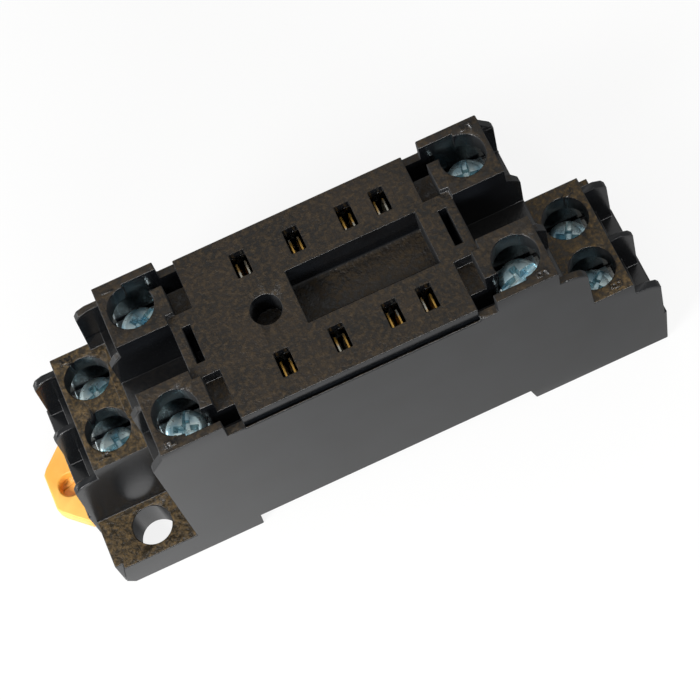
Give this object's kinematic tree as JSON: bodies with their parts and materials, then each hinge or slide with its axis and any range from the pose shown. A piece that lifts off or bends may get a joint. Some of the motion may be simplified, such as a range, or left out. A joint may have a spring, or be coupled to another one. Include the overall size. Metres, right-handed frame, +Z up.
{
  "type": "relay socket",
  "caption": "Stepped black relay socket with screw terminals at both ends, blade slots on its raised seat, panel ears and a spring-loaded latch for a top-hat rail.",
  "frame": {"origin": "middle of the whole part's bounding box in plan, on the plane of the feet that stand on the panel", "axes": "+X along the length away from the rail latch's tab, +Y across the width, +Z up from the panel to the relay seat"},
  "size_m": [0.0756, 0.022, 0.0309],
  "materials": {
    "black_moulding": "satin, finely mottled",
    "black_base": "satin",
    "orange_moulding": "satin",
    "spring_steel": "bright drawn wire",
    "tinned_brass": "satin",
    "zinc_plated_washer": "zinc plated",
    "zinc_plated_screw": "zinc plated"
  },
  "bodies": {
    "socket_body": {"housing": "black_moulding", "base_plate": "black_base", "latch_spring": "spring_steel", "contact_1": "tinned_brass", "contact_2": "tinned_brass", "contact_3": "tinned_brass", "contact_4": "tinned_brass", "contact_5": "tinned_brass", "contact_6": "tinned_brass", "contact_7": "tinned_brass", "contact_8": "tinned_brass"},
    "latch": {"rail_latch": "orange_moulding"},
    "clamp_1": {"clamp_washer_1": "zinc_plated_washer"},
    "screw_1": {"terminal_screw_1": "zinc_plated_screw"},
    "clamp_2": {"clamp_washer_2": "zinc_plated_washer"},
    "screw_2": {"terminal_screw_2": "zinc_plated_screw"},
    "clamp_3": {"clamp_washer_3": "zinc_plated_washer"},
    "screw_3": {"terminal_screw_3": "zinc_plated_screw"},
    "clamp_4": {"clamp_washer_4": "zinc_plated_washer"},
    "screw_4": {"terminal_screw_4": "zinc_plated_screw"},
    "clamp_5": {"clamp_washer_5": "zinc_plated_washer"},
    "screw_5": {"terminal_screw_5": "zinc_plated_screw"},
    "clamp_6": {"clamp_washer_6": "zinc_plated_washer"},
    "screw_6": {"terminal_screw_6": "zinc_plated_screw"},
    "clamp_7": {"clamp_washer_7": "zinc_plated_washer"},
    "screw_7": {"terminal_screw_7": "zinc_plated_screw"},
    "clamp_8": {"clamp_washer_8": "zinc_plated_washer"},
    "screw_8": {"terminal_screw_8": "zinc_plated_screw"}
  },
  "joints": [
    {"name": "latch_pull", "type": "slide", "parent": "socket_body", "child": "latch", "axis": [-1, 0, 0], "range_m": [0, 0.0035], "stiffness_N_per_m": 2000, "deforming": ["latch_spring"]},
    {"name": "clamp_1_lift", "type": "slide", "parent": "socket_body", "child": "clamp_1", "axis": [0, 0, 1], "range_m": [0, 0.0025]},
    {"name": "screw_1_turn", "type": "hinge", "parent": "clamp_1", "child": "screw_1", "pos_m": [-0.01825, 0.00695, 0.0231], "axis": [0, 0, 1], "range_deg": [0, 1800]},
    {"name": "clamp_2_lift", "type": "slide", "parent": "socket_body", "child": "clamp_2", "axis": [0, 0, 1], "range_m": [0, 0.0025]},
    {"name": "screw_2_turn", "type": "hinge", "parent": "clamp_2", "child": "screw_2", "pos_m": [-0.01825, -0.00695, 0.0231], "axis": [0, 0, 1], "range_deg": [0, 1800]},
    {"name": "clamp_3_lift", "type": "slide", "parent": "socket_body", "child": "clamp_3", "axis": [0, 0, 1], "range_m": [0, 0.0025]},
    {"name": "screw_3_turn", "type": "hinge", "parent": "clamp_3", "child": "screw_3", "pos_m": [-0.0268, 0.0069, 0.01155], "axis": [0, 0, 1], "range_deg": [0, 1800]},
    {"name": "clamp_4_lift", "type": "slide", "parent": "socket_body", "child": "clamp_4", "axis": [0, 0, 1], "range_m": [0, 0.0025]},
    {"name": "screw_4_turn", "type": "hinge", "parent": "clamp_4", "child": "screw_4", "pos_m": [-0.0268, -0.0001, 0.01155], "axis": [0, 0, 1], "range_deg": [0, 1800]},
    {"name": "clamp_5_lift", "type": "slide", "parent": "socket_body", "child": "clamp_5", "axis": [0, 0, 1], "range_m": [0, 0.0025]},
    {"name": "screw_5_turn", "type": "hinge", "parent": "clamp_5", "child": "screw_5", "pos_m": [0.02205, 0.00695, 0.0231], "axis": [0, 0, 1], "range_deg": [0, 1800]},
    {"name": "clamp_6_lift", "type": "slide", "parent": "socket_body", "child": "clamp_6", "axis": [0, 0, 1], "range_m": [0, 0.0025]},
    {"name": "screw_6_turn", "type": "hinge", "parent": "clamp_6", "child": "screw_6", "pos_m": [0.02205, -0.00695, 0.0231], "axis": [0, 0, 1], "range_deg": [0, 1800]},
    {"name": "clamp_7_lift", "type": "slide", "parent": "socket_body", "child": "clamp_7", "axis": [0, 0, 1], "range_m": [0, 0.0025]},
    {"name": "screw_7_turn", "type": "hinge", "parent": "clamp_7", "child": "screw_7", "pos_m": [0.0306, 0.0001, 0.01155], "axis": [0, 0, 1], "range_deg": [0, 1800]},
    {"name": "clamp_8_lift", "type": "slide", "parent": "socket_body", "child": "clamp_8", "axis": [0, 0, 1], "range_m": [0, 0.0025]},
    {"name": "screw_8_turn", "type": "hinge", "parent": "clamp_8", "child": "screw_8", "pos_m": [0.0306, -0.0069, 0.01155], "axis": [0, 0, 1], "range_deg": [0, 1800]}
  ],
  "couplings": [
    {"joint": "screw_1_turn", "follows": "clamp_1_lift", "rad_per_m": 12566},
    {"joint": "screw_2_turn", "follows": "clamp_2_lift", "rad_per_m": 12566},
    {"joint": "screw_3_turn", "follows": "clamp_3_lift", "rad_per_m": 12566},
    {"joint": "screw_4_turn", "follows": "clamp_4_lift", "rad_per_m": 12566},
    {"joint": "screw_5_turn", "follows": "clamp_5_lift", "rad_per_m": 12566},
    {"joint": "screw_6_turn", "follows": "clamp_6_lift", "rad_per_m": 12566},
    {"joint": "screw_7_turn", "follows": "clamp_7_lift", "rad_per_m": 12566},
    {"joint": "screw_8_turn", "follows": "clamp_8_lift", "rad_per_m": 12566}
  ]
}
